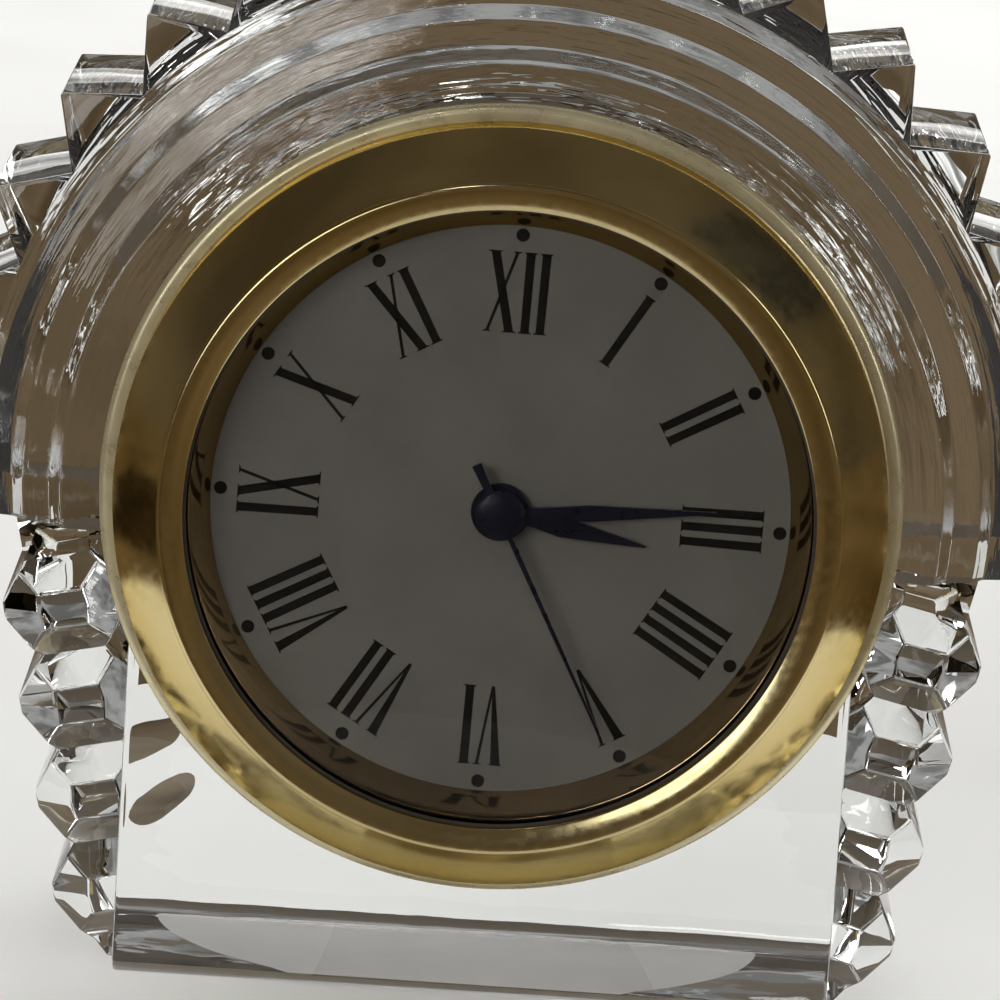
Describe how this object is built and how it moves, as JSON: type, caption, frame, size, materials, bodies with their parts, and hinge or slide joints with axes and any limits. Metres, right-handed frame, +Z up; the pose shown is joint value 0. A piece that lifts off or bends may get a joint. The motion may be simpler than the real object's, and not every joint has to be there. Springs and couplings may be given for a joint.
{
  "type": "desk clock",
  "caption": "Small crystal desk clock: a toothed glass arch on a block with beaded side columns holds a press-in quartz insert with gold bezel, pale dial and hands.",
  "frame": {"origin": "centre of the bounding box in plan, at the bottom of the block", "axes": "+Z up, the dial faces -Y, +X to the right as seen by someone who reads the dial"},
  "size_m": [0.0738, 0.0348, 0.0693],
  "materials": {
    "crystal_glass": "clear polished cut crystal",
    "bezel_gold": "polished gold plate with fine rubbed scratches",
    "gasket_black": "matt soft plastic",
    "lens_clear": "clear flat lens",
    "reflector_gold": "mirror polished gold",
    "dial_paint": "matt off-white paint with dark printed numerals",
    "hand_paint": "dark blue-black paint",
    "case_brass": "satin brass",
    "grip_rubber": "soft dark plastic",
    "holder_plastic": "moulded plastic",
    "plate_metal": "brushed plate",
    "bridge_plastic": "moulded plastic",
    "stator_iron": "stamped soft iron",
    "core_iron": "stamped soft iron",
    "bobbin_plastic": "moulded plastic",
    "winding_copper": "enamelled copper wire",
    "rotor_magnet": "sintered magnet",
    "wheel_brass": "milled brass",
    "wheel_plastic": "moulded plastic",
    "washer_brass": "thin spring brass",
    "stem_steel": "turned steel",
    "knob_plastic": "moulded plastic",
    "board_green": "lacquered board",
    "chip_resin": "black resin",
    "can_steel": "drawn can",
    "cell_steel": "nickel plated",
    "contact_spring": "spring strip",
    "cover_plastic": "moulded plastic",
    "hatch_plastic": "moulded plastic",
    "screw_steel": "turned steel"
  },
  "bodies": {
    "glass": {"crystal_body": "crystal_glass"},
    "insert": {"bezel": "bezel_gold", "lens_gasket": "gasket_black", "lens": "lens_clear", "reflector_ring": "reflector_gold", "dial": "dial_paint", "case_cup": "case_brass", "grip_ring": "grip_rubber", "movement_holder": "holder_plastic", "main_plate": "plate_metal", "train_bridge": "bridge_plastic", "stator": "stator_iron", "coil_core": "core_iron", "coil_bobbin": "bobbin_plastic", "coil_winding": "winding_copper", "hour_wheel_washer": "washer_brass", "circuit_board": "board_green", "driver_chip": "chip_resin", "quartz_can": "can_steel", "battery_cell": "cell_steel", "negative_contact": "contact_spring", "positive_contact": "contact_spring", "back_cover": "cover_plastic", "plate_screws": "screw_steel", "bridge_screws": "screw_steel", "coil_screws": "screw_steel", "board_screws": "screw_steel"},
    "hour_work": {"hour_wheel": "wheel_plastic", "hour_hand": "hand_paint"},
    "minute_work": {"cannon_pinion": "wheel_brass", "minute_hand": "hand_paint"},
    "minute_wheel_body": {"minute_wheel": "wheel_plastic"},
    "setting_work": {"setting_stem": "stem_steel", "setting_knob": "knob_plastic"},
    "seconds_work": {"seconds_wheel": "wheel_brass", "second_hand": "hand_paint"},
    "third_wheel_body": {"third_wheel": "wheel_brass"},
    "centre_wheel_body": {"centre_wheel": "wheel_brass"},
    "fifth_wheel_body": {"fifth_wheel": "wheel_brass"},
    "rotor_body": {"rotor": "rotor_magnet"},
    "hatch": {"battery_hatch": "hatch_plastic"}
  },
  "joints": [
    {"name": "insert_slide", "type": "slide", "parent": "glass", "child": "insert", "axis": [0, -1, 0], "range_m": [0, 0.03]},
    {"name": "minute_hand_turn", "type": "hinge", "parent": "insert", "child": "minute_work", "pos_m": [0, 0, 0.0325], "axis": [0, 1, 0], "continuous": true},
    {"name": "hour_hand_turn", "type": "hinge", "parent": "insert", "child": "hour_work", "pos_m": [0, 0, 0.0325], "axis": [0, 1, 0], "continuous": true},
    {"name": "minute_wheel_turn", "type": "hinge", "parent": "insert", "child": "minute_wheel_body", "pos_m": [0, 0, 0.0275], "axis": [0, 1, 0], "continuous": true},
    {"name": "setting_knob_turn", "type": "hinge", "parent": "insert", "child": "setting_work", "pos_m": [0.0025, 0, 0.02317], "axis": [0, 1, 0], "continuous": true},
    {"name": "second_hand_turn", "type": "hinge", "parent": "insert", "child": "seconds_work", "pos_m": [0, 0, 0.0325], "axis": [0, 1, 0], "continuous": true},
    {"name": "third_wheel_turn", "type": "hinge", "parent": "insert", "child": "third_wheel_body", "pos_m": [-0.00575, 0, 0.03041], "axis": [0, 1, 0], "continuous": true},
    {"name": "centre_wheel_turn", "type": "hinge", "parent": "insert", "child": "centre_wheel_body", "pos_m": [0, 0, 0.0325], "axis": [0, 1, 0], "continuous": true},
    {"name": "fifth_wheel_turn", "type": "hinge", "parent": "insert", "child": "fifth_wheel_body", "pos_m": [0.00306, 0, 0.0378], "axis": [0, 1, 0], "continuous": true},
    {"name": "rotor_turn", "type": "hinge", "parent": "insert", "child": "rotor_body", "pos_m": [0.00774, 0, 0.0378], "axis": [0, 1, 0], "continuous": true},
    {"name": "battery_hatch_turn", "type": "hinge", "parent": "insert", "child": "hatch", "pos_m": [-0.0065, 0, 0.0345], "axis": [0, 1, 0], "range_deg": [0, 45]}
  ],
  "couplings": [
    {"joint": "hour_hand_turn", "follows": "minute_hand_turn", "ratio": 0.083333},
    {"joint": "minute_wheel_turn", "follows": "minute_hand_turn", "ratio": -0.33333},
    {"joint": "setting_knob_turn", "follows": "minute_hand_turn", "ratio": 1},
    {"joint": "third_wheel_turn", "follows": "second_hand_turn", "ratio": -0.13333},
    {"joint": "centre_wheel_turn", "follows": "second_hand_turn", "ratio": 0.016667},
    {"joint": "fifth_wheel_turn", "follows": "second_hand_turn", "ratio": -6},
    {"joint": "rotor_turn", "follows": "second_hand_turn", "ratio": 30}
  ]
}
